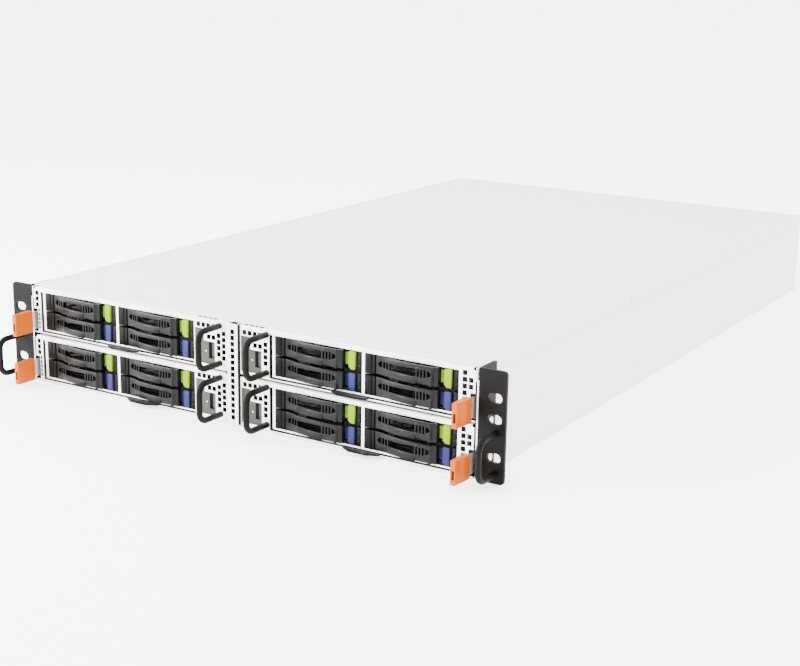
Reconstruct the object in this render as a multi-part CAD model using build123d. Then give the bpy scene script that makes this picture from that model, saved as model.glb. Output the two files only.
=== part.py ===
from build123d import *
import os
from math import cos, radians, sin, sqrt

# Rackmount server barebone, two rack units high: a sheet-metal chassis that takes four
# half-width node sleds from the front, each with four small drive carriers, and has its
# fans and two stacked power supplies at the back.
# Millimetres. X runs across the front, Y from the front to the back, Z up.
# Everything is laid out from the front plane (Y = 0), and is moved at export so that the
# origin lies under the middle of the whole object.

# Chassis sheet metal
chassis_width = 438.0
chassis_height = 85.0
chassis_depth = 742.0
fan_section = 142.0         # space behind the sleds for their boards, the fans and the exhaust
sheet = 1.2
cover_setback = 4.0         # the cover's front edge lies this far behind the front plane
cover_lip = 10.0            # how far the cover's side flange hangs down the wall
slide_gap = 0.3             # clearance beside every piece that slides

# Rack ears and their handles
rack_width = 482.6
ear_sheet = 2.5
ear_leg = 22.0              # how far the ear's leg runs back along the side wall
ear_margin = 0.3            # ear edge inside the chassis top and bottom
ear_corner = 3.0
slot_spacing = 465.1        # rack hole columns, centre to centre
slot_length = 11.2
slot_width = 7.3
slot_heights = (19.7, 48.3, 64.15)
ear_bar = 4.8
ear_bar_x = 234.0
ear_bar_low = 8.0
ear_bar_high = 38.5
ear_bar_reach = 25.0
bar_bend = 8.0
ear_screw_heights = (14.0, 42.0, 70.0)
ear_screw_setback = 8.0     # in front of the rear edge of the ear's leg
ear_screw_radius = 3.2
ear_screw_head = 1.0
cover_screw_y = 270.0
cover_screw_radius = 2.6
cover_screw_head = 0.6
bar_sides = 8               # facets round a handle's bar
bend_step = 45              # degrees turned by each facet of a handle's bend
round_sides = 16            # facets of the round ducts and hubs
screw_sides = 8

# Centre divider and the bay for the power supplies behind it
divider_width = 10.0
divider_proud = 2.0         # its perforated nose stands in front of the front plane
divider_depth = 402.0
bay_half = 40.0             # inner half width of the power supply bay
ledge_setback = 24.0        # the supplies' ledges start this far behind the bay's front wall
square_hole = 3.9
hole_pitch = 5.0
nose_holes = 15
nose_hole_low = 7.3
step_gap = 1.0              # from a sled's step to the front wall of the bay
ledge_gap = 0.4             # from the lower supply's top to its ledges

# Shelf that carries the upper sleds
shelf_height = 42.3         # also the pitch from a lower sled to an upper one
shelf_sheet = 1.1
shelf_setback = 9.0
shelf_flange = 10.0
shelf_catch_gap = 4.0       # the shelf's flange starts this far behind the latch catch

# Node sled
sled_sheet = 1.0
sled_height = 39.8
sled_side_gap = 1.3         # from the divider and from the wall's inset top to the sled front
front_window_top = 36.3     # top of the window that shows the drive cage
window_gap = 3.0            # dark gap at the left of the cage
top_flange = 8.0
latch_space = 5.1           # free strip between the sled's outer wall and its front's edge
latch_clear = 0.9           # of the latch's slot, below and above the grip
corner_cut = 1.7            # small notch in the upper outer corner of a sled front
flange_end = 2.0
top_holes = 4
top_row_drop = 5.4          # from the sled front's top to the middle of its first row of holes
edge_column = 3.7           # from the sled front's outer edge to its last column of holes
sled_lift = 0.2             # a lower sled lies this far above the chassis floor
top_row_start = 2.0         # from the port plate's field to the first hole of the top row
field_holes = ((14.2, 25.3), (19.0, 25.3))      # two holes above the port
field_column = (24.2, 27.5, 4)                  # place, top hole and count of the column beside it
left_column = (29.2, 29.8, 5)                   # the second such column of a left sled
left_edge_column = (34.8, 3)
right_edge_columns = ((35.3, 7), (30.3, 2))
flange_hole_start = 1.2
low_wall = 26.0
slope_start = 12.0          # the side walls drop from this far behind the drive cage
slope_run = 20.0

# Drive cage: two bays side by side, two carriers high
cage_start = 37.6           # from the middle plane to the cage
cage_wall = 2.4
cage_depth = 118.0
cage_floor = 2.8            # height of the cage floor's underside above the sled's underside
cage_sheet = 1.2
bay_width = 80.2
row_pitch = 16.8
row_gap = 0.4               # under a carrier
ledge_width = 4.0           # pointed ledges between the two rows
ledge_taper = 5.0
right_ledge_start = 12.0
board_sheet = 1.6
drive_plug_length = 40.0
drive_plug_height = 5.0
drive_plug_depth = 4.0
drive_plug_rise = 2.4       # above the carrier's underside

# Drive carrier and its lever
bezel_width = bay_width - 2 * slide_gap
bezel_height = 14.8
bezel_depth = 9.0
web_sheet = 2.0
pivot_block = 8.6
pivot_groove = 0.7
groove_place = 5.5
groove_depth = 0.8
lever_start = 9.2
lever_end = 64.3
lever_gap = 0.2             # above and below the lever
lever_proud = 5.2           # how far the bowed lever stands in front of the carrier
lever_sheet = 2.0
lever_root = 0.6            # the lever's inner end lies this far behind the carrier's front
lever_tip_back = 1.0
bow_shares = (0.45, 0.87)   # of the full bow, at the third rib and half way to the fourth
tip_drops = (1.8, 2.2)      # the free end steps back by these behind the bow's front
vent_ribs = (15.2, 18.6, 22.0, 47.2, 50.0, 52.9, 55.7)    # three by the pivot, four by the free end
vent_rib = 1.1
vent_start = 11.0
vent_end = 59.3
vent_middle = 8.6           # height of the vent's middle above the carrier's underside
tip_margin = 0.6            # from the vent's end to the end of the raised part
scoop_end = 58.0
scoop_height = 5.0
scoop_depth = 1.4
light_strip = 4.0
carrier_length = 110.0
rail_sheet = 1.0
rail_ledge = 5.0
rail_low = 1.0              # rails and their ledges stand this far above the carrier's underside
rail_side = 0.4             # from the bezel's end to the rail
web_window = 6.0            # the web's open middle starts this far behind the pivot block
web_window_low = 3.0
button_start = 64.6
button_step = 3.6
button_width = 9.4
button_proud = 1.0
button_pad = 2.6
button_edge = 0.4
pad_bevel = 2.0
pad_notch = 1.0
button_setback = 0.8        # the button's side part starts this far behind the carrier's front
button_side_drop = 1.8      # from the pad's top to the side part's top

# Sled front controls
io_inset = 0.3              # from the sled front's inner edge to the port plate
io_width = 33.1
bar_size = 5.0
bar_reach = 26.5
bar_place = 25.4            # handle's place from the port plate's left edge
bar_low = 5.3
bar_high = 35.8
port_margin = 0.4           # from the port plate's field to its cut-out
port_wide = 20.0            # the cut-out is an L: wide below, narrow above
port_narrow = 9.0
port_low = 2.8
port_step = 21.6
port_high = 31.4
port_cover = 0.6            # how far the plate reaches behind the cut-out's edge
port_place = 15.8
port_middle = 14.0
port_width = 6.4
port_height = 14.8
port_wall = 0.8
port_depth = 15.0
port_back = 3.0
plate_gap = 0.1             # from a right sled's wall to its port plate
tongue_sheet = 1.9
tongue_setback = 2.5
tongue_margin = 1.0
small_hole_width = 2.0      # narrow holes between the latch slot and the window of a left sled
small_hole_height = 2.8
small_hole_pitch = 3.8
small_hole_x = 210.7
small_hole_top = 20.1
small_holes = 5

# Outer latch of each sled
latch_low = 1.5
latch_height = 18.6
latch_grip = 4.0
latch_front = 26.0
latch_back = 6.5
latch_slot = 4.1            # width of the latch's slot in the sled front
latch_heel = 8.0            # rear part of the grip, which is thicker
latch_bulge = 1.2
bulge_run = 4.8
grip_inner_wall = 1.0
grip_outer_wall = 0.8
grip_slot_depth = 5.0
grip_slot_height = 7.0
grip_slot_rise = 4.0
strip_place = 2.4           # from the grip's inner face to its spring
strip_margin = 1.5          # the spring is this much lower than the grip at each edge
strip_seat = 6.0            # how far the spring reaches into the grip
strip_foot = 8.0
strip_sheet = 0.8
strip_end = 90.0
catch_place = 30.0
catch_width = 6.0
catch_height = 10.0
catch_rise = 4.0            # above the grip's underside
catch_bite = 1.0            # how far the catch reaches into the chassis wall

# Pull-out label tabs in the slot under each cage
tab_width = 33.0
tab_length = 70.0
tab_proud = 8.0
tab_sheet = 1.0
tab_taper = 8.0
tab_nose = 5.0
tab_lift = 0.4
tab_shift = {1: 7.5, 2: -10.5, 3: 27.0, 4: 0.0}

# Boards, coolers and memory sockets of a sled
mainboard_gap = 2.0         # from the sled's walls to the main board
mainboard_low = 6.0
post_size = 6.0
post_margin = 8.0
plug_half = 24.0            # half width of the rear plug and of its socket on the midplane
plug_height = 10.0
plug_depth = 11.0
socket_depth = 2.5
cooler_shares = (0.236, 0.664)      # places of the coolers' middles along the main board
cooler_width = 80.0
cooler_depth = 96.0
cooler_height = 23.0
cooler_base = 4.0
cooler_lift = 1.0
channel_width = 14.0
channel_pitch = 20.0
channel_count = 4
processor_width = 56.0
memory_places = (50.0, 60.0)        # two sockets on each side of a cooler
memory_width = 6.0
memory_height = 8.0
memory_length = 134.0

# Back half: boards, fans and power supplies
midplane_gap = 3.7
midplane_margin = 12.4      # beside the windows of a midplane board
midplane_window = 18.0
midplane_rise = 26.0        # from a sled's underside to the middle of its window
fan_size = 80.0
fan_depth = 38.0
fan_bore = 76.0
fan_hub = 36.0
fan_clearance = 40.0        # from the sleds' backs to the fans
fan_spacing = 88.0
fan_tip_gap = 1.5
fan_seat = 4.0              # thickness of the motor seat and its arms
fan_arm = 4.0
arm_bite = 1.0              # how far an arm runs into the housing
fan_front = 4.0             # the rotor lies this far behind its frame's front
fan_spindle = 4.0
spindle_reach = 8.0         # how far the spindle stands into the hub
spindle_gap = 0.4
spindle_sides = 8
louvre_rows = 5
louvre_pitch = 14.5
louvre_bar = 5.5
louvre_side = 2.0           # the louvres are this much narrower than the duct at each side
blade_count = 5
blade_slant = 48.0
blade_camber = 1.1
blade_sheet = 1.4
blade_edge = 0.9
blade_root = 1.0            # how far a blade runs into the hub
blade_share = 0.9           # of the hub's depth
hub_play = 1.0
supply_width = 73.5
supply_height = 40.0
supply_gap = 28.0           # from the bay's front wall to the supplies, for their board
supply_plug_half = 22.0
supply_plug_reach = 14.0
supply_plug_low = 14.0
supply_ledge = 6.0
supply_bar = 4.0
supply_reach = 26.0
supply_bar_x = 0.75
supply_bar_margin = 6.0
supply_flange = 2.0
inlet_place = 19.0          # from the supply's right side to the middle of its inlet
inlet_width = 27.0
inlet_height = 20.0
inlet_depth = 16.0
slot_place = 8.0            # fan slots in the supply's back face
slot_run = 26.0
slot_bar = 3.2
slot_pitch = 6.0
slot_depth = 3.0
slot_rows = 5
supply_catch_edge = 0.8
supply_catch_sheet = 2.7
supply_catch_reach = 12.0
supply_catch_low = 8.0
supply_catch_height = 18.0

# Values worked out from the ones above
half_width = chassis_width / 2
wall_in = half_width - sheet
wall_top_in = wall_in - sheet
sled_depth = chassis_depth - fan_section
cover_underside = chassis_height - sheet
front_reach = bar_reach + bar_size / 2
rear_reach = supply_flange + supply_reach
front_plane_y = -(chassis_depth + rear_reach - front_reach) / 2
sled_front_in = divider_width / 2 + sled_side_gap
sled_front_out = wall_top_in - slide_gap
sled_wall_in = sled_front_in + slide_gap
sled_wall_out = sled_front_out - latch_space
latch_inner = sled_front_out - latch_slot
strip_in = latch_inner + strip_place
catch_low = latch_low + catch_rise
sled_step = divider_depth - step_gap
bay_front = divider_depth + sheet
bay_wall_out = bay_half + sheet
sled_rear_in = bay_wall_out + 2 * slide_gap
cage_width = 2 * bay_width + 3 * cage_wall
row_low = cage_floor + cage_sheet + row_gap
mainboard_top = mainboard_low + board_sheet
lower_base = sheet + sled_lift
upper_base = lower_base + shelf_height
midplane_y = sled_depth + midplane_gap
fan_place = sled_depth + fan_clearance
fan_low = sheet + slide_gap
fan_centre_z = fan_low + fan_size / 2
fan_inner_x = bay_wall_out + (wall_in - bay_wall_out - fan_spacing) / 2
supply_length = chassis_depth - divider_depth - supply_gap
rear_wall_y = chassis_depth - sheet
sled_sides = {1: -1, 2: 1, 3: -1, 4: 1}
sled_bases = {1: upper_base, 2: upper_base, 3: lower_base, 4: lower_base}


def slab(x_a, x_b, y_a, y_b, z_a, z_b):
    """Box between two opposite corners, given in any order along each axis."""
    size = (abs(x_b - x_a), abs(y_b - y_a), abs(z_b - z_a))
    return Pos((x_a + x_b) / 2, (y_a + y_b) / 2, (z_a + z_b) / 2) * Box(*size)


def outline(*points):
    """Flat face inside a closed run of straight lines."""
    return make_face(Polyline(*points, close=True))


def rectangle(x_a, x_b, z_a, z_b):
    """Flat rectangle between two opposite corners."""
    return Pos((x_a + x_b) / 2, (z_a + z_b) / 2) * Rectangle(abs(x_b - x_a), abs(z_b - z_a))


def upright(face, y_front, depth):
    """Face drawn across the front (X, Z), given its depth behind y_front."""
    return Pos(0, y_front, 0) * extrude(Plane.XZ * face, amount=-depth)


def sideways(face, x_start, width):
    """Face drawn on the side (Y, Z), given its width from x_start towards +X."""
    return Pos(x_start, 0, 0) * extrude(Plane.YZ * face, amount=width)


def level(face, z_low, height):
    """Face drawn in plan (X, Y), given its height above z_low."""
    return Pos(0, 0, z_low) * extrude(face, amount=height)


def punch(face, centres):
    """Face with a square hole at each centre."""
    return face - [Pos(x, z) * Rectangle(square_hole, square_hole) for x, z in centres]


def column(x, z_top, count):
    """Hole centres in a column that goes down from z_top."""
    return [(x, z_top - hole_pitch * step) for step in range(count)]


def bail(x, z_low, z_high, reach, diameter, y_back):
    """Bar handle with many-sided bar: two legs forward of y_back, two bends and a grip."""
    points = [(x, y_back, z_low)]
    for z, turn in ((z_low, 1), (z_high, -1)):
        bend = [
            (
                x,
                y_back - reach + bar_bend * (1 - sin(radians(angle))),
                z + turn * bar_bend * (1 - cos(radians(angle))),
            )
            for angle in range(0, 91, bend_step)
        ]
        points += bend if turn > 0 else bend[::-1]
    points.append((x, y_back, z_high))
    section = Plane((x, y_back, z_low), z_dir=(0, -1, 0)) * RegularPolygon(diameter / 2, bar_sides)
    return sweep(section, path=Polyline(*points), transition=Transition.RIGHT)


def save(name, *pieces):
    """Write the solids of one node, moved into the object's own frame."""
    solids = [solid for piece in pieces for solid in piece.solids()]
    export_step(Pos(0, front_plane_y, 0) * Compound(solids), f"parts/{name}.step")


def chassis_tray():
    """Floor, side walls with an inset top for the cover's lip, and the vented back wall."""
    floor = slab(-half_width, half_width, 0, chassis_depth, 0, sheet)
    lip_z = chassis_height - cover_lip
    catch_y = catch_place - slide_gap
    tray = floor
    for side in (-1, 1):
        wall = slab(side * half_width, side * wall_in, 0, chassis_depth, sheet, lip_z)
        inset = slab(side * wall_in, side * wall_top_in, 0, chassis_depth,
                     lip_z - sheet, cover_underside)
        catches = [
            slab(side * half_width, side * wall_in, catch_y, catch_y + catch_width + 2 * slide_gap,
                 base + catch_low, base + catch_low + catch_height + 2 * slide_gap)
            for base in (lower_base, upper_base)
        ]
        tray += wall + inset - catches
    back = rectangle(-wall_in, wall_in, sheet, cover_underside)
    back -= rectangle(-bay_half, bay_half, sheet, cover_underside)
    for x in fan_centres():
        for row in range(louvre_rows):
            z = fan_centre_z + louvre_pitch * (row - (louvre_rows - 1) / 2)
            back -= Pos(x, z) * Rectangle(fan_bore - 2 * louvre_side, louvre_pitch - louvre_bar)
    return tray + upright(back, rear_wall_y, sheet)


def top_cover():
    """Flat lid with side flanges over the inset wall tops."""
    lid = slab(-half_width, half_width, cover_setback, chassis_depth, cover_underside, chassis_height)
    for side in (-1, 1):
        lid += slab(side * half_width, side * wall_in, cover_setback, chassis_depth,
                    chassis_height - cover_lip + slide_gap, cover_underside)
    return lid


def center_divider():
    """Hollow folded wall with a perforated nose, and the two walls of the supply bay."""
    half = divider_width / 2
    low = sheet
    high = cover_underside
    nose = punch(
        rectangle(-half, half, low, high),
        [(0, nose_hole_low + hole_pitch * step) for step in range(nose_holes)],
    )
    divider = upright(nose, -divider_proud, sheet)
    for side in (-1, 1):
        divider += slab(side * half, side * (half - sheet), sheet - divider_proud, divider_depth, low, high)
    divider += slab(-half, half, cover_setback, divider_depth, high - sheet, high)
    bay = slab(-bay_wall_out, bay_wall_out, divider_depth, bay_front, low, high)
    for side in (-1, 1):
        bay += slab(side * bay_half, side * bay_wall_out, bay_front, rear_wall_y, low, high)
        bay += slab(side * bay_half, side * (bay_half - supply_ledge), bay_front + ledge_setback, rear_wall_y,
                    supply_ledge_z(), supply_ledge_z() + sheet)
    return divider + bay


def supply_ledge_z():
    """Underside of the ledges between the two power supplies."""
    return sheet + slide_gap + supply_height + ledge_gap


def sled_shelf(side):
    """Sheet under an upper sled, with a flange riveted to the side wall."""
    inner = divider_width / 2 + slide_gap
    corner_y = divider_depth - slide_gap
    top = shelf_height + shelf_sheet
    flange_start = catch_place + catch_width + shelf_catch_gap
    shelf = slab(side * inner, side * wall_in, shelf_setback, corner_y, shelf_height, top)
    shelf += slab(side * (bay_wall_out + slide_gap), side * wall_in, corner_y, sled_depth, shelf_height, top)
    shelf += slab(side * wall_in, side * (wall_in - shelf_sheet), flange_start, sled_depth,
                  shelf_height - shelf_flange, shelf_height)
    return shelf


def rack_ear(side):
    """Bent steel bracket: slotted front plate and a leg along the side wall."""
    low = ear_margin
    high = chassis_height - ear_margin
    outer = rack_width / 2
    plate = rectangle(side * half_width, side * outer, low, high)
    tip = [vertex for vertex in plate.vertices() if abs(vertex.X) > outer - 1]
    plate = fillet(tip, ear_corner)
    for z in slot_heights:
        plate -= Pos(side * slot_spacing / 2, z) * SlotOverall(slot_length, slot_width)
    ear = upright(plate, 0, ear_sheet)
    leg = slab(side * half_width, side * (half_width + ear_sheet), ear_sheet, ear_leg, low, high)
    return ear + leg


def ear_handle(side):
    """Bar handle on the lower part of an ear."""
    return bail(side * ear_bar_x, ear_bar_low, ear_bar_high, ear_bar_reach, ear_bar, 0)


def fan_centres():
    """Places of the four fans across the chassis, left to right."""
    inner, outer = fan_inner_x, fan_inner_x + fan_spacing
    return [-outer, -inner, inner, outer]


def around_y(radius, y_front, depth, x, z, sides=round_sides):
    """Many-sided bar along Y."""
    return Pos(x, y_front, z) * extrude(Plane.XZ * RegularPolygon(radius, sides), amount=-depth)


def fan_frame(x):
    """Square housing with a round duct, and a motor seat on four arms at its back."""
    z = fan_centre_z
    half = fan_size / 2
    seat_y = fan_place + fan_depth - fan_seat
    reach = fan_bore / 2 + arm_bite
    arm = fan_arm / 2
    frame = slab(x - half, x + half, fan_place, fan_place + fan_depth, z - half, z + half)
    frame -= around_y(fan_bore / 2, fan_place, fan_depth, x, z)
    arms = slab(x - reach, x + reach, seat_y, seat_y + fan_seat, z - arm, z + arm)
    arms += slab(x - arm, x + arm, seat_y, seat_y + fan_seat, z - reach, z + reach)
    arms += around_y(fan_hub / 2, seat_y, fan_seat, x, z)
    spindle = around_y(fan_spindle / 2, seat_y - spindle_reach, spindle_reach, x, z, spindle_sides)
    return frame + arms + spindle


def fan_rotor(x):
    """Hub that turns on the frame's spindle, with cambered blades set at a slant."""
    z = fan_centre_z
    start = fan_place + fan_front
    end = fan_place + fan_depth - fan_seat - slide_gap
    depth = end - start
    bore = (fan_spindle / 2 + spindle_gap) / cos(radians(180 / spindle_sides))
    hub = around_y(fan_hub / 2, start, depth, x, z)
    hub -= around_y(bore, end - spindle_reach - hub_play, spindle_reach + hub_play, x, z, spindle_sides)
    chord = depth * blade_share
    half_sweep = chord / 2 * cos(radians(blade_slant)) + blade_root
    crest = blade_camber + blade_sheet
    section = outline((-chord / 2, 0), (0, crest), (chord / 2, blade_edge), (chord / 2, 0), (0, blade_camber))
    root = sqrt((fan_hub / 2) ** 2 - half_sweep**2) - blade_root
    tip = sqrt((fan_bore / 2 - fan_tip_gap) ** 2 - half_sweep**2)
    blade = Pos(0, 0, root) * Rot(0, 0, blade_slant) * extrude(section, amount=tip - root)
    for step in range(blade_count):
        hub += Pos(x, start + depth / 2, z) * Rot(0, 360 / blade_count * step, 0) * blade
    return hub


def midplane_boards():
    """Upright board behind the sleds on each side, and the supplies' board in their bay."""
    boards = []
    low = sheet + slide_gap
    high = cover_underside - slide_gap
    inner = bay_wall_out + slide_gap
    outer = wall_top_in - slide_gap
    middle = (inner + outer) / 2
    for side in (-1, 1):
        face = rectangle(side * inner, side * outer, low, high)
        for base in (lower_base, upper_base):
            window = Rectangle(outer - inner - 2 * midplane_margin, midplane_window)
            face -= Pos(side * middle, base + midplane_rise) * window
        board = upright(face, midplane_y, board_sheet)
        for base in (lower_base, upper_base):
            board += slab(side * (middle - plug_half), side * (middle + plug_half), midplane_y - socket_depth,
                          midplane_y, base + mainboard_top, base + mainboard_top + plug_height)
        boards.append(board)
    board_y = bay_front + slide_gap
    supply_face = rectangle(-bay_half + slide_gap, bay_half - slide_gap, low, high)
    supply_board = upright(supply_face, board_y, board_sheet)
    for base in (sheet, supply_ledge_z()):
        supply_board += slab(-supply_plug_half, supply_plug_half, board_y + board_sheet,
                             board_y + supply_plug_reach, base + supply_plug_low,
                             base + supply_plug_low + plug_height)
    boards.append(supply_board)
    return boards


def screw_head(radius, height):
    """Low screw head that stands on its own origin."""
    return extrude(RegularPolygon(radius, screw_sides), amount=height)


def fasteners():
    """Ear screws, and the cover's two side screws."""
    heads = []
    for side in (-1, 1):
        outward = Rot(0, side * 90, 0)
        for z in ear_screw_heights:
            place = Pos(side * (half_width + ear_sheet), ear_leg - ear_screw_setback, z)
            heads.append(place * outward * screw_head(ear_screw_radius, ear_screw_head))
        place = Pos(side * half_width, cover_screw_y, chassis_height - cover_lip / 2)
        heads.append(place * outward * screw_head(cover_screw_radius, cover_screw_head))
    return heads


def power_supply(base):
    """Closed supply housing with a flanged back face, inlet, fan slots, handle and catch."""
    half = supply_width / 2
    back = chassis_depth
    face_y = back + supply_flange
    body = slab(-half, half, back - supply_length, face_y, base, base + supply_height)
    inlet_x = half - inlet_place
    middle = base + supply_height / 2
    body -= slab(inlet_x - inlet_width / 2, inlet_x + inlet_width / 2, face_y - inlet_depth, face_y,
                 middle - inlet_height / 2, middle + inlet_height / 2)
    slot_x = slot_place - half
    for row in range(slot_rows):
        z = middle + slot_pitch * (row - (slot_rows - 1) / 2)
        body -= slab(slot_x, slot_x + slot_run, face_y - slot_depth, face_y,
                     z - slot_bar / 2, z + slot_bar / 2)
    bar = bail(0, 0, supply_height - 2 * supply_bar_margin, supply_reach - supply_bar / 2, supply_bar, 0)
    handle = Pos(supply_bar_x, face_y, base + supply_bar_margin) * Rot(0, 0, 180) * bar
    catch_x = half - supply_catch_edge
    catch = slab(catch_x - supply_catch_sheet, catch_x, face_y, face_y + supply_catch_reach,
                 base + supply_catch_low, base + supply_catch_low + supply_catch_height)
    return [body, handle, catch]


def cage_left(side):
    """Left edge of the drive cage."""
    return cage_start if side > 0 else -cage_start - cage_width


def io_left(side):
    """Left edge of the port plate's field."""
    return sled_front_in + io_inset if side > 0 else -sled_front_in - io_width


def port_outline(side, cover):
    """L-shaped outline of the port cut-out, grown by the given cover on every edge."""
    left = io_left(side) + port_margin
    low = port_low - cover
    step = port_step + cover
    high = port_high + cover
    start = left - cover
    if cover and side > 0:
        start = sled_wall_in + sled_sheet + plate_gap
    return outline(
        (start, low), (left + port_wide + cover, low), (left + port_wide + cover, step),
        (left + port_narrow + cover, step), (left + port_narrow + cover, high), (start, high),
    )


def sled_front(side, base):
    """Perforated front of a sled, with its window, port cut-out and latch slot."""
    left = cage_left(side)
    io = io_left(side)
    outer = side * sled_front_out
    hole = square_hole / 2
    face = rectangle(side * sled_front_in, outer, 0, sled_height)
    face -= rectangle(left - window_gap, left + cage_width - cage_wall, sled_sheet, front_window_top)
    face -= port_outline(side, 0)
    face -= rectangle(side * latch_inner, outer,
                      latch_low - latch_clear, latch_low + latch_height + latch_clear)
    face -= rectangle(outer - side * corner_cut, outer, sled_height - corner_cut, sled_height)
    first = io + hole + top_row_start
    top_row = [(first + hole_pitch * step, sled_height - top_row_drop) for step in range(top_holes)]
    centres = top_row + [(io + x, z) for x, z in field_holes]
    place, top, count = field_column
    centres += column(io + place, top, count)
    edge = side * (sled_front_out - edge_column)
    if side > 0:
        for step, (top, count) in enumerate(right_edge_columns):
            centres += column(edge + hole_pitch * (step - 1), top, count)
    else:
        place, top, count = left_column
        centres += column(io + place, top, count)
        centres += column(edge, *left_edge_column)
        for step in range(small_holes):
            small = Rectangle(small_hole_width, small_hole_height)
            face -= Pos(-small_hole_x, small_hole_top - small_hole_pitch * step) * small
    front = upright(punch(face, centres), 0, sled_sheet)
    flange = slab(side * sled_front_in, side * (sled_front_out - flange_end), sled_sheet, top_flange,
                  sled_height - sled_sheet, sled_height)
    for x, _ in top_row:
        flange -= slab(x - hole, x + hole, flange_hole_start, flange_hole_start + square_hole, 0, sled_height)
    return Pos(0, 0, base) * (front + flange)


def sled_tray(side, base):
    """Folded tray: floor, walls that are high beside the cage and low behind it."""
    t = sled_sheet
    floor = slab(side * sled_wall_in, side * sled_wall_out, t, sled_step, 0, t)
    floor += slab(side * sled_rear_in, side * sled_wall_out, sled_step, sled_depth, 0, t)
    high = sled_height - t
    slope = cage_depth + slope_start
    profile = [(slope + slope_run, low_wall), (slope, high), (t, high)]
    outer_wall = outline((t, 0), (sled_depth, 0), (sled_depth, low_wall), *profile)
    inner_wall = outline((t, 0), (sled_step, 0), (sled_step, low_wall), *profile)
    outer_x = sled_wall_out - t if side > 0 else -sled_wall_out
    inner_x = sled_wall_in if side > 0 else -sled_wall_in - t
    tray = floor + sideways(outer_wall, outer_x, t) + sideways(inner_wall, inner_x, t)
    tray += slab(side * sled_wall_in, side * sled_rear_in, sled_step - t, sled_step, 0, low_wall)
    tray += slab(side * sled_rear_in, side * (sled_rear_in + t), sled_step - t, sled_depth, 0, low_wall)
    return Pos(0, 0, base) * tray


def drive_cage(side, base):
    """Four-bay cage: floor, roof, three walls and the pointed ledges between the rows."""
    left = cage_left(side)
    right = left + cage_width
    floor_top = cage_floor + cage_sheet
    t = sled_sheet
    cage = slab(left, right - cage_wall, 0, t, cage_floor, floor_top)
    cage += slab(left, right, t, cage_depth, cage_floor, floor_top)
    cage += slab(left, right, t, cage_depth, front_window_top, front_window_top + cage_sheet)
    for step, start in enumerate((0, 0, t)):
        x = left + step * (bay_width + cage_wall)
        cage += slab(x, x + cage_wall, start, cage_depth, cage_floor, front_window_top)
    for x in (left, right - cage_wall):
        cage += slab(x, x + cage_wall, cage_depth / 2, cage_depth, t, cage_floor)
    ledge_z = row_low + bezel_height + (row_pitch - bezel_height - cage_sheet) / 2
    for step in range(2):
        wall = left + cage_wall + step * (bay_width + cage_wall)
        for x, inward, start in ((wall, 1, 0), (wall + bay_width, -1, right_ledge_start)):
            tip = x + inward * ledge_width
            ledge = outline((x, start), (tip, start + ledge_taper), (tip, cage_depth), (x, cage_depth))
            cage += level(ledge, ledge_z, cage_sheet)
    return Pos(0, 0, base) * cage


def port_plate(side, base):
    """Dark plate behind the port cut-out, with the upright port and its tongue."""
    t = sled_sheet
    plate = upright(port_outline(side, port_cover), t, t)
    x = io_left(side) + port_place
    half = port_width / 2
    tall = port_height / 2
    z = port_middle
    shell = slab(x - half, x + half, t, t + port_depth, z - tall, z + tall)
    half -= port_wall
    tall -= port_wall
    hollow_end = t + port_depth - port_back
    hollow = slab(x - half, x + half, 0, hollow_end, z - tall, z + tall)
    tongue_x = x + half - port_wall
    tongue = slab(tongue_x - tongue_sheet, tongue_x, tongue_setback, hollow_end,
                  z - tall + tongue_margin, z + tall - tongue_margin)
    return Pos(0, 0, base) * (plate + shell - hollow + tongue)


def backplane(side, base):
    """Upright board behind the cage, with one plug for each drive."""
    left = cage_left(side)
    y = cage_depth
    board = slab(left, left + cage_width, y, y + board_sheet, cage_floor, front_window_top + cage_sheet)
    for step in range(2):
        x = left + cage_wall + step * (bay_width + cage_wall) + (bay_width - drive_plug_length) / 2
        for row in range(2):
            z = row_low + row * row_pitch + drive_plug_rise
            board += slab(x, x + drive_plug_length, y - drive_plug_depth, y, z, z + drive_plug_height)
    return Pos(0, 0, base) * board


def mainboard(side, base):
    """Main board on its posts, with its memory sockets and rear plug, and two finned coolers."""
    t = sled_sheet
    inner = sled_wall_in + t + mainboard_gap
    rear_in = sled_rear_in + t + mainboard_gap
    outer = sled_wall_out - t - mainboard_gap
    start = cage_depth + slope_start
    step_y = sled_step - t - mainboard_gap
    end = sled_depth - t - mainboard_gap
    low = mainboard_low
    high = mainboard_top
    board = slab(side * inner, side * outer, start, step_y, low, high)
    board += slab(side * rear_in, side * outer, step_y, end, low, high)
    post = post_size / 2
    feet = [(x, y) for x in (inner + post_margin, outer - post_margin)
            for y in (start + post_margin, step_y - 2 * post_margin)]
    feet += [(x, end - 2 * post_margin) for x in (rear_in + post_margin, outer - post_margin)]
    for x, y in feet:
        board += slab(side * (x - post), side * (x + post), y - post, y + post, t, low)
    middle = (rear_in + outer) / 2
    board += slab(side * (middle - plug_half), side * (middle + plug_half), end - plug_depth, end, high,
                  high + plug_height)
    coolers = []
    for share in cooler_shares:
        y = start + share * (end - start)
        front = y - cooler_depth / 2
        back = y + cooler_depth / 2
        cooler = slab(side * (middle - cooler_width / 2), side * (middle + cooler_width / 2), front, back,
                      high + cooler_lift, high + cooler_lift + cooler_height)
        for step in range(channel_count):
            x = middle + channel_pitch * (step - (channel_count - 1) / 2)
            cooler -= slab(side * (x - channel_width / 2), side * (x + channel_width / 2), front, back,
                           high + cooler_lift + cooler_base, high + cooler_lift + cooler_height)
        half = processor_width / 2
        cooler += slab(side * (middle - half), side * (middle + half), y - half, y + half,
                       high, high + cooler_lift)
        coolers.append(cooler)
        for place in memory_places:
            for x in (middle - place, middle + place):
                board += slab(side * (x - memory_width / 2), side * (x + memory_width / 2),
                              y - memory_length / 2, y + memory_length / 2, high, high + memory_height)
    return [Pos(0, 0, base) * piece for piece in (board, *coolers)]


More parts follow.
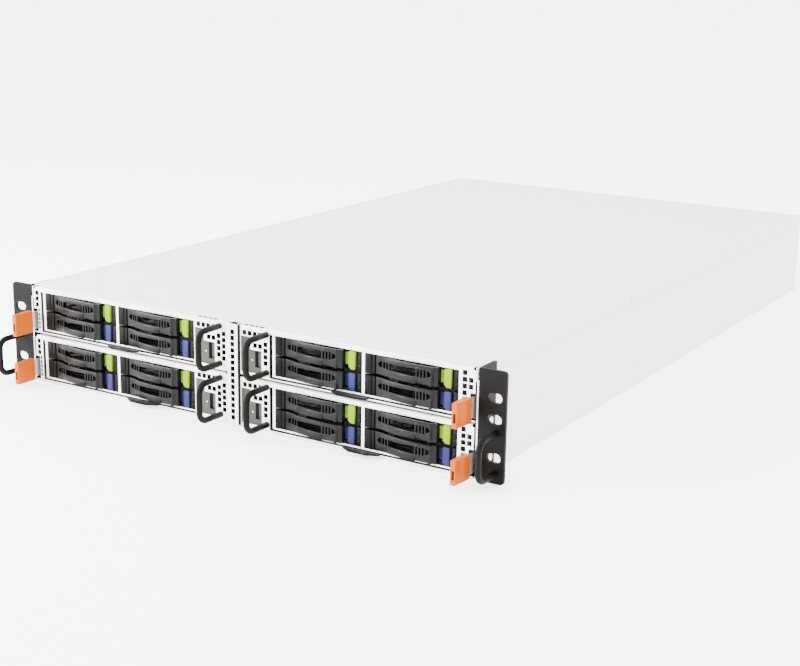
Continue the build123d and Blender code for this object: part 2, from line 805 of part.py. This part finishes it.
def sled_handle(side, base):
    """Bar handle on the inner half of a sled's front."""
    x = io_left(side) + bar_place
    return bail(x, base + bar_low, base + bar_high, bar_reach, bar_size, 0)


def sled_latch(side, base):
    """Moulded grip on a flat spring that carries the catch."""
    low = base + latch_low
    inner = latch_inner
    outer = inner + latch_grip
    front = -latch_front
    back = -latch_back
    bulge = outer + latch_bulge
    plan = outline(
        (side * inner, front), (side * outer, front), (side * outer, back - latch_heel - bulge_run),
        (side * bulge, back - latch_heel), (side * bulge, back), (side * inner, back),
    )
    grip = level(plan, low, latch_height)
    slot_low = low + grip_slot_rise
    grip -= slab(side * (inner + grip_inner_wall), side * (outer - grip_outer_wall),
                 front, front + grip_slot_depth, slot_low, slot_low + grip_slot_height)
    strip_out = strip_in + strip_sheet
    strip_low = low + strip_margin
    strip_high = low + latch_height - strip_margin
    grip -= slab(side * strip_in, side * strip_out, back - strip_seat, back, strip_low, strip_high)
    spring = slab(side * strip_in, side * strip_out, back - strip_seat, strip_end, strip_low, strip_high)
    spring += slab(side * strip_out, side * (wall_in + catch_bite), catch_place, catch_place + catch_width,
                   base + catch_low + slide_gap, base + catch_low + slide_gap + catch_height)
    spring += slab(side * sled_wall_out, side * strip_in, strip_end - strip_foot, strip_end,
                   strip_low, strip_high)
    return [grip, spring]


def label_tab(number, side, base):
    """Thin pull-out tab with tapered ends, loose in the slot under the cage."""
    middle = cage_left(side) + cage_width / 2 + tab_shift[number]
    half = tab_width / 2
    plan = outline(
        (middle - half, tab_nose - tab_proud), (middle - half + tab_taper, -tab_proud),
        (middle + half - tab_taper, -tab_proud), (middle + half, tab_nose - tab_proud),
        (middle + half, tab_length - tab_proud), (middle - half, tab_length - tab_proud),
    )
    return level(plan, base + sled_sheet + tab_lift, tab_sheet)


def bay_origin(side, base, bay):
    """Lower left front corner of a carrier: bays a and b are the upper row, c and d the lower."""
    across = bay in "bd"
    x = cage_left(side) + cage_wall + slide_gap + across * (bay_width + cage_wall)
    z = base + row_low + (bay in "ab") * row_pitch
    return x, z


def drive_carrier(side, base, bay):
    """Bezel with its light strip, release button and the open tray behind it."""
    x, z = bay_origin(side, base, bay)
    web_y = bezel_depth - web_sheet
    groove_end = groove_place + pivot_groove
    strip_x = bezel_width - light_strip
    plan = outline(
        (0, 0), (groove_place, 0), (groove_place, groove_depth), (groove_end, groove_depth), (groove_end, 0),
        (pivot_block, 0), (pivot_block, web_y), (strip_x, web_y), (strip_x, 0),
        (bezel_width, 0), (bezel_width, bezel_depth), (0, bezel_depth),
    )
    bezel = level(plan, 0, bezel_height)
    bezel -= slab(pivot_block + web_window, vent_end, web_y, bezel_depth, web_window_low, bezel_height)
    t = rail_sheet
    tray = slab(rail_side, bezel_width - rail_side, carrier_length - t, carrier_length, rail_low, rail_ledge)
    for start, inward in ((rail_side, 1), (bezel_width - rail_side, -1)):
        tray += slab(start, start + inward * t, bezel_depth, carrier_length,
                     rail_low, bezel_height - rail_low)
        tray += slab(start, start + inward * rail_ledge, bezel_depth, carrier_length,
                     rail_low, rail_low + t)
    crease = button_start + button_step
    button_end = button_start + button_width
    low = button_edge
    high = bezel_height - button_edge
    button = slab(button_start, crease + pad_notch, button_setback, web_y,
                  web_window_low + low, high - button_side_drop)
    pad = outline(
        (crease, low + pad_bevel), (crease + pad_bevel, low), (button_end, low), (button_end, high),
        (crease + pad_notch, high), (crease, high - pad_notch),
    )
    button += upright(pad, -button_proud, button_pad)
    return [Pos(x, 0, z) * piece for piece in (bezel, tray, button)]


def drive_lever(side, base, bay):
    """Bowed lever with a vent that is pointed at the pivot and round at the free end."""
    x, z = bay_origin(side, base, bay)
    proud = lever_proud
    first, third, fourth, last = (vent_ribs[rib] for rib in (0, 2, 3, -1))
    tip = vent_end + tip_margin
    rise, crest = (-share * proud for share in bow_shares)
    bow = [
        (lever_start, lever_root), (first, 0), (third, rise), ((third + fourth) / 2, crest),
        (fourth, -proud), (tip - tip_margin / 2, -proud),
    ]
    step, end = (drop - proud for drop in tip_drops)
    front = bow[:-1] + [(tip, -proud), (tip + 1, step), (lever_end, end)]
    rear = [(lever_end, lever_tip_back), (tip, lever_tip_back)]
    rear += [(place, depth + lever_sheet) for place, depth in reversed(bow)]
    lever = level(outline(*front, *rear), lever_gap, bezel_height - 2 * lever_gap)
    middle = vent_middle
    vent = outline(
        (vent_start, middle - 0.4), (vent_start + 2.2, middle + 1.8), (fourth, middle + 3.0),
        (last, middle + 3.2), (vent_end - 0.2, middle + 2.0), (vent_end, middle - 0.8),
        (last, middle - 2.4), (fourth, middle - 3.0), (vent_start + 2.2, middle - 2.7),
    )
    ribs = [rectangle(place - vent_rib / 2, place + vent_rib / 2, 0, bezel_height) for place in vent_ribs]
    lever -= upright(vent - ribs, -2 * proud, 4 * proud)
    ahead = -proud - 1
    scoop = outline((ahead, scoop_height), (-proud, scoop_height), (scoop_depth - proud, 0), (ahead, 0))
    return Pos(x, 0, z) * (lever - sideways(scoop, fourth, scoop_end - fourth))


def main():
    os.makedirs("parts", exist_ok=True)
    save("chassis_tray", chassis_tray())
    save("top_cover", top_cover())
    save("center_divider", center_divider())
    save("sled_shelves", sled_shelf(-1), sled_shelf(1))
    save("rack_ear_left", rack_ear(-1))
    save("rack_ear_right", rack_ear(1))
    save("ear_handles", ear_handle(-1), ear_handle(1))
    save("midplane_boards", *midplane_boards())
    save("fan_frames", *[fan_frame(x) for x in fan_centres()])
    save("fasteners", *fasteners())
    for number, x in enumerate(fan_centres(), 1):
        save(f"fan_rotor_{number}", fan_rotor(x))
    save("psu_lower", *power_supply(sheet + slide_gap))
    save("psu_upper", *power_supply(supply_ledge_z() + sheet + slide_gap))
    for number, side in sled_sides.items():
        base = sled_bases[number]
        save(
            f"sled_{number}_frame",
            sled_front(side, base) + sled_tray(side, base),
            drive_cage(side, base),
            port_plate(side, base),
            backplane(side, base),
            sled_handle(side, base),
            *mainboard(side, base),
        )
        save(f"sled_{number}_latch", *sled_latch(side, base))
        save(f"sled_{number}_tag", label_tab(number, side, base))
        for bay in "abcd":
            save(f"drive_carrier_{number}{bay}", *drive_carrier(side, base, bay))
            save(f"drive_lever_{number}{bay}", drive_lever(side, base, bay))


main()
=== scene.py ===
import math

import bpy
import bmesh
from mathutils import Matrix, Vector


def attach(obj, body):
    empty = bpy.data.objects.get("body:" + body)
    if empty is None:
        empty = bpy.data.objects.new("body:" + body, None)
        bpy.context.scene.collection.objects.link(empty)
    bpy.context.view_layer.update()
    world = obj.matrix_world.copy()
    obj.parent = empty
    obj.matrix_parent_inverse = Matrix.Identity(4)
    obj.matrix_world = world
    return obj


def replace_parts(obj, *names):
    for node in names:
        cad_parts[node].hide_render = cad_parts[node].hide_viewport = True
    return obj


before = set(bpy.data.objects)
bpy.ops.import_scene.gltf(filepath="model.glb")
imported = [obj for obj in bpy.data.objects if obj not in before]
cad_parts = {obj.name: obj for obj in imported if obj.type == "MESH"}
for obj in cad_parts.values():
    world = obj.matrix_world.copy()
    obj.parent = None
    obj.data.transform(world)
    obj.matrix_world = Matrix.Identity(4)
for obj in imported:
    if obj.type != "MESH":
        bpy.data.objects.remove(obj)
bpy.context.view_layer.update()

# All places and lengths are in metres. A sled number gives its side and the height of its base.
frontPlane = -0.3705
chassisHalf = 0.219
chassisTop = 0.085
sledSides = {1: -1, 2: 1, 3: -1, 4: 1}
sledBases = {1: 0.0437, 2: 0.0437, 3: 0.0014, 4: 0.0014}
portEdges = {-1: -0.0394, 1: 0.0066}
quarterTurn = math.radians(90)
facing = 0.5

# Every finish has a noise on its tone and roughness, and some have a fine bump.
plainLook = {
    "metallic": 0.0, "roughness": 0.5, "gloss": 0.5, "glow": 0.0,
    "scale": 60.0, "grain": 0.05, "shade": 0.06, "bump": 0.0,
}
noiseDetail = 3.0
roughnessLow = 0.05
roughnessHigh = 1.0
bumpScale = 1800.0
bumpDepth = 0.0001
mixFirst, mixSecond, mixResult = 6, 7, 2


def makeMaterial(name, color, **changes):
    look = {**plainLook, **changes}
    material = bpy.data.materials.new(name)
    material.use_nodes = True
    nodes = material.node_tree.nodes
    links = material.node_tree.links
    shader = nodes["Principled BSDF"]
    shader.inputs["Metallic"].default_value = look["metallic"]
    shader.inputs["Specular IOR Level"].default_value = look["gloss"]
    coordinates = nodes.new("ShaderNodeTexCoord")
    noise = nodes.new("ShaderNodeTexNoise")
    noise.inputs["Scale"].default_value = look["scale"]
    noise.inputs["Detail"].default_value = noiseDetail
    links.new(coordinates.outputs["Object"], noise.inputs["Vector"])
    spread = nodes.new("ShaderNodeMapRange")
    smoothest = max(look["roughness"] - look["grain"], roughnessLow)
    roughest = min(look["roughness"] + look["grain"], roughnessHigh)
    spread.inputs["To Min"].default_value = smoothest
    spread.inputs["To Max"].default_value = roughest
    links.new(noise.outputs["Fac"], spread.inputs["Value"])
    links.new(spread.outputs["Result"], shader.inputs["Roughness"])
    tone = nodes.new("ShaderNodeMix")
    tone.data_type = "RGBA"
    darker = (channel * (1 - look["shade"]) for channel in color)
    tone.inputs[mixFirst].default_value = (*darker, 1.0)
    tone.inputs[mixSecond].default_value = (*color, 1.0)
    links.new(noise.outputs["Fac"], tone.inputs[0])
    links.new(tone.outputs[mixResult], shader.inputs["Base Color"])
    if look["bump"]:
        fine = nodes.new("ShaderNodeTexNoise")
        fine.inputs["Scale"].default_value = bumpScale
        links.new(coordinates.outputs["Object"], fine.inputs["Vector"])
        bump = nodes.new("ShaderNodeBump")
        bump.inputs["Strength"].default_value = look["bump"]
        bump.inputs["Distance"].default_value = bumpDepth
        links.new(fine.outputs["Fac"], bump.inputs["Height"])
        links.new(bump.outputs["Normal"], shader.inputs["Normal"])
    if look["glow"]:
        shader.inputs["Emission Color"].default_value = (*color, 1.0)
        shader.inputs["Emission Strength"].default_value = look["glow"]
    return material


zincSheet = makeMaterial(
    "zincSheet", (0.74, 0.735, 0.735), metallic=0.15, roughness=0.5, scale=35.0, shade=0.04,
)
sledSheet = makeMaterial(
    "sledSheet", (0.90, 0.90, 0.89), metallic=0.1, roughness=0.42, shade=0.04,
)
# Painted shade: a near-black sheet for the shelves and the hidden faces of the sled trays,
# which lie in shade inside the chassis.
paintedShadeSheet = makeMaterial(
    "paintedShadeSheet", (0.11, 0.11, 0.11), metallic=0.3, roughness=0.5, scale=220.0, shade=0.2,
)
# Painted shade: near-black for the inner faces of the tray, the divider and the drive cages;
# the two small dots on each carrier use the same near-black.
paintedShadeAndDotBlack = makeMaterial("paintedShadeAndDotBlack", (0.020, 0.020, 0.020), roughness=0.7, gloss=0.05)
blackSteel = makeMaterial(
    "blackSteel", (0.003, 0.003, 0.003), roughness=0.5, gloss=0.06, bump=0.25,
)
blackPlastic = makeMaterial(
    "blackPlastic", (0.003, 0.003, 0.003), roughness=0.45, gloss=0.06, bump=0.15,
)
leverPlastic = makeMaterial(
    "leverPlastic", (0.004, 0.004, 0.0043), roughness=0.34, gloss=0.11, bump=0.15,
)
springSteel = makeMaterial("springSteel", (0.72, 0.68, 0.66), metallic=0.8, roughness=0.32)
paleLamp = makeMaterial("lampGlow", (0.60, 0.66, 0.58), roughness=0.3)
orangePlastic = makeMaterial("orangePlastic", (0.34, 0.062, 0.0001), roughness=0.4, gloss=0.12)
greenPlastic = makeMaterial("greenPlastic", (0.13, 0.22, 0.0004), roughness=0.42, gloss=0.08)
bluePlastic = makeMaterial("bluePlastic", (0.012, 0.013, 0.060), roughness=0.42, gloss=0.12)
circuitBoard = makeMaterial(
    "circuitBoard", (0.02, 0.11, 0.05), roughness=0.45, scale=180.0, shade=0.25,
)
supplyCase = makeMaterial("supplyCase", (0.68, 0.68, 0.67), metallic=0.4, roughness=0.45)
fanPlastic = makeMaterial("fanPlastic", (0.012, 0.012, 0.012), gloss=0.2, bump=0.15)
portGray = makeMaterial("portGray", (0.035, 0.035, 0.034), roughness=0.45, gloss=0.2)
aluminium = makeMaterial("aluminium", (0.62, 0.62, 0.62), metallic=0.9, roughness=0.35)
floorPaint = makeMaterial("floorPaint", (0.95, 0.95, 0.95), roughness=0.9, shade=0.01, glow=2.0)
print("materials made")

# The shelves take the near-black sheet of painted shade.
plainFinish = {
    "chassis_tray": zincSheet, "top_cover": zincSheet, "sled_shelves": paintedShadeSheet,
    "center_divider": sledSheet, "rack_ear_left": blackSteel, "rack_ear_right": blackSteel,
    "midplane_boards": circuitBoard, "fasteners": aluminium,
}
bevelSegments = 2
bevelAngle = math.radians(30)
mergeDistance = 1e-6


def finishOf(node):
    if node.startswith(("fan_rotor", "fan_frames")):
        return fanPlastic
    if node.endswith("_tag"):
        return blackPlastic
    return plainFinish.get(node)


def softenEdges(obj, width):
    bevel = obj.modifiers.new("edge", "BEVEL")
    bevel.width = width
    bevel.segments = bevelSegments
    bevel.limit_method = "ANGLE"
    bevel.angle_limit = bevelAngle
    bevel.harden_normals = True
    for polygon in obj.data.polygons:
        polygon.use_smooth = True


def looseParts(node):
    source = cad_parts[node]
    work = bmesh.new()
    work.from_mesh(source.data)
    work.transform(source.matrix_world)
    bmesh.ops.remove_doubles(work, verts=work.verts, dist=mergeDistance)
    left = set(work.verts)
    groups = []
    for start in work.verts:
        if start not in left:
            continue
        left.remove(start)
        group = {start}
        queue = [start]
        while queue:
            for edge in queue.pop().link_edges:
                for vertex in edge.verts:
                    if vertex in left:
                        left.remove(vertex)
                        group.add(vertex)
                        queue.append(vertex)
        groups.append(group)
    work.verts.index_update()
    parts = []
    for group in groups:
        single = work.copy()
        keep = {vertex.index for vertex in group}
        single.verts.ensure_lookup_table()
        others = [vertex for vertex in single.verts if vertex.index not in keep]
        bmesh.ops.delete(single, geom=others, context="VERTS")
        parts.append(single)
    work.free()
    return parts


def extent(work):
    low = Vector(min(v.co[axis] for v in work.verts) for axis in range(3))
    high = Vector(max(v.co[axis] for v in work.verts) for axis in range(3))
    return low, high


def placePiece(name, work, material, body, softness=0.0, second=None, isSecond=None):
    work.normal_update()
    mesh = bpy.data.meshes.new(name)
    if second:
        for face in work.faces:
            face.material_index = 1 if isSecond(face) else 0
    work.to_mesh(mesh)
    work.free()
    mesh.materials.append(material)
    if second:
        mesh.materials.append(second)
    obj = bpy.data.objects.new(name, mesh)
    bpy.context.scene.collection.objects.link(obj)
    if softness:
        softenEdges(obj, softness)
    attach(obj, body)
    return obj


# The inner faces of the tray and the divider get a painted shade, so that holes and gaps look
# deep.
trayShadeBounds = {"fromMiddle": 0.05, "behindLip": 0.003, "floorTop": 0.003}
dividerShadeBounds = {
    "holeHalf": 0.0021, "hollowHalf": 0.00385, "flankDepth": 0.001, "hollowAhead": 0.0012,
}


def paintedShadeInTray(centre, normal):
    inwards = normal.x * centre.x < -trayShadeBounds["fromMiddle"]
    wall = inwards and centre.y > frontPlane + trayShadeBounds["behindLip"]
    floor = normal.z > facing and centre.z < trayShadeBounds["floorTop"]
    return wall or floor


def paintedShadeInDivider(centre, normal):
    holeWall = abs(centre.x) < dividerShadeBounds["holeHalf"] and abs(normal.y) < facing
    behindFront = centre.y > frontPlane + dividerShadeBounds["flankDepth"]
    flank = abs(normal.x) > facing and behindFront
    inHollow = centre.y > frontPlane - dividerShadeBounds["hollowAhead"]
    hollow = abs(centre.x) < dividerShadeBounds["hollowHalf"] and inHollow
    return holeWall or flank or (hollow and abs(normal.z) < facing)


for node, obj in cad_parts.items():
    finish = finishOf(node)
    if finish:
        obj.data.materials.clear()
        obj.data.materials.append(finish)
for node, isPaintedShade in (("chassis_tray", paintedShadeInTray), ("center_divider", paintedShadeInDivider)):
    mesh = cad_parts[node].data
    mesh.materials.append(paintedShadeAndDotBlack)
    for polygon in mesh.polygons:
        if isPaintedShade(polygon.center, polygon.normal):
            polygon.material_index = 1
print("plain nodes painted")

bailSegments = 20
bendSteps = 8
earHandleX = 0.234
earBail = {
    "back": frontPlane, "reach": 0.025, "radius": 0.0024, "bend": 0.008,
    "low": 0.008, "high": 0.0385,
}
sledBail = {"back": frontPlane, "reach": 0.0265, "radius": 0.0025, "bend": 0.008}
sledBailPlace = {"fromPortEdge": 0.0254, "low": 0.0053, "high": 0.0358}


def growRing(work, edges, step):
    grown = bmesh.ops.extrude_edge_only(work, edges=edges)["geom"]
    verts = [item for item in grown if isinstance(item, bmesh.types.BMVert)]
    bmesh.ops.translate(work, verts=verts, vec=step)
    newEdges = [item for item in grown if isinstance(item, bmesh.types.BMEdge)]
    return [edge for edge in newEdges if set(edge.verts) <= set(verts)]


def turnRing(work, edges, centre):
    verts = list(dict.fromkeys(vertex for edge in edges for vertex in edge.verts))
    turned = bmesh.ops.spin(
        work, geom=verts + edges, cent=centre, axis=(1, 0, 0), angle=-quarterTurn,
        steps=bendSteps, use_duplicate=False,
    )
    return [item for item in turned["geom_last"] if isinstance(item, bmesh.types.BMEdge)]


def roundBail(place):
    bend = place["bend"]
    front = place["back"] - place["reach"] + bend
    work = bmesh.new()
    foot = Matrix.Translation((place["x"], place["back"], place["low"]))
    bmesh.ops.create_circle(
        work, cap_ends=False, segments=bailSegments, radius=place["radius"],
        matrix=foot @ Matrix.Rotation(quarterTurn, 4, "X"),
    )
    edges = growRing(work, work.edges[:], (0, bend - place["reach"], 0))
    edges = turnRing(work, edges, (place["x"], front, place["low"] + bend))
    edges = growRing(work, edges, (0, 0, place["high"] - place["low"] - 2 * bend))
    edges = turnRing(work, edges, (place["x"], front, place["high"] - bend))
    growRing(work, edges, (0, place["reach"] - bend, 0))
    bmesh.ops.holes_fill(work, edges=work.edges[:], sides=0)
    bmesh.ops.recalc_face_normals(work, faces=work.faces[:])
    for face in work.faces:
        face.smooth = len(face.verts) == 4
    return work


for side in (-1, 1):
    work = roundBail({**earBail, "x": side * earHandleX})
    name = f"ear_bail_{'left' if side < 0 else 'right'}"
    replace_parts(placePiece(name, work, blackSteel, "chassis"), "ear_handles")
print("round handles made")

# The solids of a sled, carrier or supply have no names of their own, so size and place tell
# them apart.
bailTest = {"width": 0.008, "ahead": 0.02}
boardTest = {"depth": 0.115, "height": 0.025, "width": 0.15}
backplaneTest = {"depth": 0.11, "thickness": 0.01}
coolerTest = {"width": 0.09, "length": 0.05}
portWidth = 0.03
trayLength = 0.55
cageTest = {"shortest": 0.1, "longest": 0.2, "width": 0.1, "height": 0.03}
carrierTest = {"buttonWidth": 0.012, "railLength": 0.05}
supplyLength = 0.1

partFinish = {
    "handle": blackSteel, "board": circuitBoard, "cooler": aluminium, "port": portGray,
    "tray": sledSheet, "cage": sledSheet, "plain": sledSheet,
}
cageShadeFrom = 0.006
trayFront = {"depth": 0.0005, "topHeight": 0.0395, "topDepth": 0.02}
cageReach = 0.0018      # how far a left sled's cage reaches past the edge of the port's field
gripAhead = 0.0064
carrierSoftness = 0.00025
leverSoftness = 0.0003
carrierLamp = {
    "fromRight": 0.0020, "heights": (0.0039, 0.0104), "radius": 0.0006, "proud": 0.00005,
    "segments": 12,
}


def sledPart(low, size):
    if size.x < bailTest["width"] and low.y < frontPlane - bailTest["ahead"]:
        return "handle"
    wideAndFlat = size.z < boardTest["height"] and size.x > boardTest["width"]
    if wideAndFlat and low.y > frontPlane + boardTest["depth"]:
        return "board"
    if low.y > frontPlane + backplaneTest["depth"] and size.y < backplaneTest["thickness"]:
        return "board"
    if size.x < coolerTest["width"] and size.y > coolerTest["length"]:
        return "cooler"
    if size.x < portWidth:
        return "port"
    if size.y > trayLength:
        return "tray"
    asLong = cageTest["shortest"] < size.y < cageTest["longest"]
    if asLong and size.x > cageTest["width"] and size.z > cageTest["height"]:
        return "cage"
    return "plain"


def cutPort(work, side):
    cut = Vector((portEdges[side] + cageReach, 0, 0))
    everything = work.verts[:] + work.edges[:] + work.faces[:]
    bmesh.ops.bisect_plane(
        work, geom=everything, plane_co=cut, plane_no=(1, 0, 0), clear_inner=True,
    )
    bmesh.ops.holes_fill(work, edges=work.edges[:], sides=0)


# Cage faces behind the front edges get the painted shade.
def paintedShadeInCage(face):
    return face.calc_center_median().y > frontPlane + cageShadeFrom


# Tray faces other than the front face and the top near the front get the painted shade.
def paintedShadeInSled(base):
    def isPaintedShade(face):
        centre = face.calc_center_median()
        ahead = face.normal.y < -facing and centre.y < frontPlane + trayFront["depth"]
        nearFront = centre.y < frontPlane + trayFront["topDepth"]
        high = centre.z > base + trayFront["topHeight"]
        onTop = face.normal.z > facing and high and nearFront
        return not (ahead or onTop)

    return isPaintedShade


def onGrip(face):
    return face.calc_center_median().y < frontPlane - gripAhead


def addDisc(work, place, radius, depth, segments):
    matrix = Matrix.Translation(place) @ Matrix.Rotation(quarterTurn, 4, "X")
    bmesh.ops.create_cone(
        work, cap_ends=True, segments=segments, radius1=radius, radius2=radius, depth=depth,
        matrix=matrix,
    )


def addLamps(name, low, high, body):
    lamps = bmesh.new()
    x = high.x - carrierLamp["fromRight"]
    y = low.y - carrierLamp["proud"]
    depth = 4 * carrierLamp["proud"]
    for height in carrierLamp["heights"]:
        place = Vector((x, y, low.z + height))
        addDisc(lamps, place, carrierLamp["radius"], depth, carrierLamp["segments"])
    # The dots take the same near-black as the painted shade.
    placePiece(name, lamps, paintedShadeAndDotBlack, body)


def splitSled(number, side):
    base = sledBases[number]
    frameNode = f"sled_{number}_frame"
    pieces = []
    for index, work in enumerate(looseParts(frameNode)):
        low, high = extent(work)
        kind = sledPart(low, high - low)
        if kind == "handle":
            work.free()
            x = portEdges[side] + sledBailPlace["fromPortEdge"]
            ends = {end: base + sledBailPlace[end] for end in ("low", "high")}
            work = roundBail({**sledBail, **ends, "x": x})
        if kind == "port" and side < 0:
            cutPort(work, side)
        # Cages and trays are split between their own finish and the painted shade.
        second, isSecond = {
            "cage": (paintedShadeAndDotBlack, paintedShadeInCage), "tray": (paintedShadeSheet, paintedShadeInSled(base)),
        }.get(kind, (None, None))
        name = f"sled_{number}_part_{index}"
        piece = placePiece(
            name, work, partFinish[kind], f"sled_{number}", second=second, isSecond=isSecond,
        )
        pieces.append(piece)
    for piece in pieces:
        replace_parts(piece, frameNode)


def splitCarrier(number, bay):
    node = f"drive_carrier_{number}{bay}"
    body = f"drive_{number}{bay}"
    buttonFinish = greenPlastic if bay in "ab" else bluePlastic
    for index, work in enumerate(looseParts(node)):
        low, high = extent(work)
        isButton = (high - low).x < carrierTest["buttonWidth"]
        isRail = (high - low).y > carrierTest["railLength"]
        finish = buttonFinish if isButton else supplyCase if isRail else blackPlastic
        softness = 0.0 if isRail else carrierSoftness
        name = f"carrier_{number}{bay}_part_{index}"
        piece = placePiece(name, work, finish, body, softness)
        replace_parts(piece, node)
        if not isButton and not isRail:
            addLamps(f"carrier_{number}{bay}_lamps", low, high, body)


for number, side in sledSides.items():
    splitSled(number, side)
    for bay in "abcd":
        splitCarrier(number, bay)
        leverNode = f"drive_lever_{number}{bay}"
        leverName = f"lever_{number}{bay}"
        for work in looseParts(leverNode):
            piece = placePiece(leverName, work, leverPlastic, leverName, leverSoftness)
            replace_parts(piece, leverNode)
    latchNode = f"sled_{number}_latch"
    for index, work in enumerate(looseParts(latchNode)):
        name = f"sled_{number}_latch_part_{index}"
        body = f"latch_{number}"
        piece = placePiece(name, work, springSteel, body, second=orangePlastic, isSecond=onGrip)
        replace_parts(piece, latchNode)
for node in ("psu_lower", "psu_upper"):
    for index, work in enumerate(looseParts(node)):
        low, high = extent(work)
        finish = supplyCase if (high - low).y > supplyLength else blackSteel
        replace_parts(placePiece(f"{node}_part_{index}", work, finish, node), node)
print("sleds, carriers, latches and supplies split")

rivet = {"radius": 0.0023, "top": 0.0014, "height": 0.0005, "segments": 16}
sideRivets = {"depths": (0.097, 0.190, 0.280, 0.370, 0.460, 0.550, 0.643), "height": 0.037}
sideDimples = ((0.270, 0.060), (0.325, 0.064))
dividerRivets = (0.100, 0.192, 0.278, 0.362)
bayRivets = {"depths": (0.438, 0.495, 0.573, 0.652), "fromMiddle": 0.040}


def addRivet(work, place, turn):
    matrix = Matrix.Translation(place) @ turn @ Matrix.Translation((0, 0, rivet["height"] / 2))
    bmesh.ops.create_cone(
        work, cap_ends=True, segments=rivet["segments"], radius1=rivet["radius"],
        radius2=rivet["top"], depth=rivet["height"], matrix=matrix,
    )


def addSideRivets(work, places):
    for side in (-1, 1):
        turn = Matrix.Rotation(side * quarterTurn, 4, "Y")
        for depth, height in places:
            addRivet(work, (side * chassisHalf, frontPlane + depth, height), turn)


def addTopRivets(work, depths, places):
    for depth in depths:
        for x in places:
            addRivet(work, (x, frontPlane + depth, chassisTop), Matrix.Identity(4))


def addBar(work, place, size):
    matrix = Matrix.Translation(place) @ Matrix.Diagonal((*size, 1))
    bmesh.ops.create_cube(work, size=1.0, matrix=matrix)


rivets = bmesh.new()
addSideRivets(rivets, [(depth, sideRivets["height"]) for depth in sideRivets["depths"]])
addTopRivets(rivets, dividerRivets, (0,))
addTopRivets(rivets, bayRivets["depths"], (-bayRivets["fromMiddle"], bayRivets["fromMiddle"]))
addSideRivets(rivets, sideDimples)
placePiece("chassis_rivets", rivets, zincSheet, "chassis")

rearRib = {
    "from": 0.688, "to": 0.735, "heights": (0.0615, 0.0680), "width": 0.0018, "proud": 0.0004,
}
ribs = bmesh.new()
for side in (-1, 1):
    for z in rearRib["heights"]:
        middle = frontPlane + (rearRib["from"] + rearRib["to"]) / 2
        place = (side * (chassisHalf + rearRib["proud"] / 2), middle, z)
        size = (rearRib["proud"], rearRib["to"] - rearRib["from"], rearRib["width"])
        addBar(ribs, place, size)
placePiece("chassis_side_ribs", ribs, sledSheet, "chassis")

contactStrip = {
    "x": 0.110, "length": 0.200, "above": 0.0398, "ribs": (0.0020, 0.0045, 0.0070),
    "width": 0.0014, "height": 0.0005,
}
lowerSleds = (3, 4)
for number in lowerSleds:
    top = sledBases[number] + contactStrip["above"]
    strip = bmesh.new()
    for y in contactStrip["ribs"]:
        x = sledSides[number] * contactStrip["x"]
        place = (x, frontPlane + y, top + contactStrip["height"] / 2)
        size = (contactStrip["length"], contactStrip["width"], contactStrip["height"])
        addBar(strip, place, size)
    placePiece(f"sled_{number}_contact_strip", strip, springSteel, f"sled_{number}")

statusLamp = {
    "fromPortEdge": 0.011, "setback": 0.0008, "above": 0.013,
    "radius": 0.0007, "depth": 0.0006, "segments": 16,
}
for number, side in sledSides.items():
    lamp = bmesh.new()
    x = portEdges[side] + statusLamp["fromPortEdge"]
    place = (x, frontPlane + statusLamp["setback"], sledBases[number] + statusLamp["above"])
    addDisc(lamp, place, statusLamp["radius"], statusLamp["depth"], statusLamp["segments"])
    placePiece(f"sled_{number}_status_lamp", lamp, paleLamp, f"sled_{number}")
print("rivets, strips and lamps made")

floorHalf = 12.0
floorDrop = 0.0005
skyStrength = 4.0
white = (1.0, 1.0, 1.0, 1.0)

floorWork = bmesh.new()
bmesh.ops.create_grid(floorWork, x_segments=1, y_segments=1, size=floorHalf)
floorMesh = bpy.data.meshes.new("floor")
floorWork.to_mesh(floorMesh)
floorWork.free()
floorMesh.materials.append(floorPaint)
floor = bpy.data.objects.new("floor", floorMesh)
floor.location.z = -floorDrop
bpy.context.scene.collection.objects.link(floor)

world = bpy.data.worlds.new("studio")
bpy.context.scene.world = world
world.use_nodes = True
sky = world.node_tree.nodes["Background"]
sky.inputs["Color"].default_value = white
sky.inputs["Strength"].default_value = skyStrength

softboxes = {
    "overhead": {
        "place": (0.2, -0.2, 1.9), "target": (0.0, 0.0, 0.0), "width": 1.8, "height": 1.8,
        "power": 60.0,
    },
    "leftFront": {
        "place": (-1.6, -1.5, 0.7), "target": (0.0, -0.35, 0.05), "width": 1.0, "height": 1.0,
        "power": 170.0,
    },
}


def softbox(name, place, target, width, height, power):
    light = bpy.data.lights.new(name, "AREA")
    light.shape = "RECTANGLE"
    light.size = width
    light.size_y = height
    light.energy = power
    obj = bpy.data.objects.new(name, light)
    obj.location = place
    aim = Vector(target) - Vector(place)
    obj.rotation_euler = aim.to_track_quat("-Z", "Y").to_euler()
    bpy.context.scene.collection.objects.link(obj)


for name, values in softboxes.items():
    softbox(name, **values)

# The camera was solved on the photo: three angles, a place and a focal length in pixels.
azimuth = 0.553
elevation = 0.260
roll = 0.017
cameraPlace = (0.69448, -1.24819, 0.37389)
focalPixels = 1472.34
pictureWidth = 800
sensorWidth = 36.0

level = math.cos(elevation)
back = Vector((math.sin(azimuth) * level, -math.cos(azimuth) * level, math.sin(elevation)))
right = (-back).cross(Vector((0, 0, 1))).normalized()
up = right.cross(-back)
axisX = math.cos(roll) * right + math.sin(roll) * up
axisY = -math.sin(roll) * right + math.cos(roll) * up
lens = bpy.data.cameras.new("camera")
lens.sensor_width = sensorWidth
lens.lens = focalPixels / pictureWidth * sensorWidth
camera = bpy.data.objects.new("camera", lens)
turn = Matrix((axisX, axisY, back)).transposed().to_4x4()
camera.matrix_world = Matrix.Translation(cameraPlace) @ turn
bpy.context.scene.collection.objects.link(camera)
bpy.context.scene.camera = camera
print("stage and camera made")
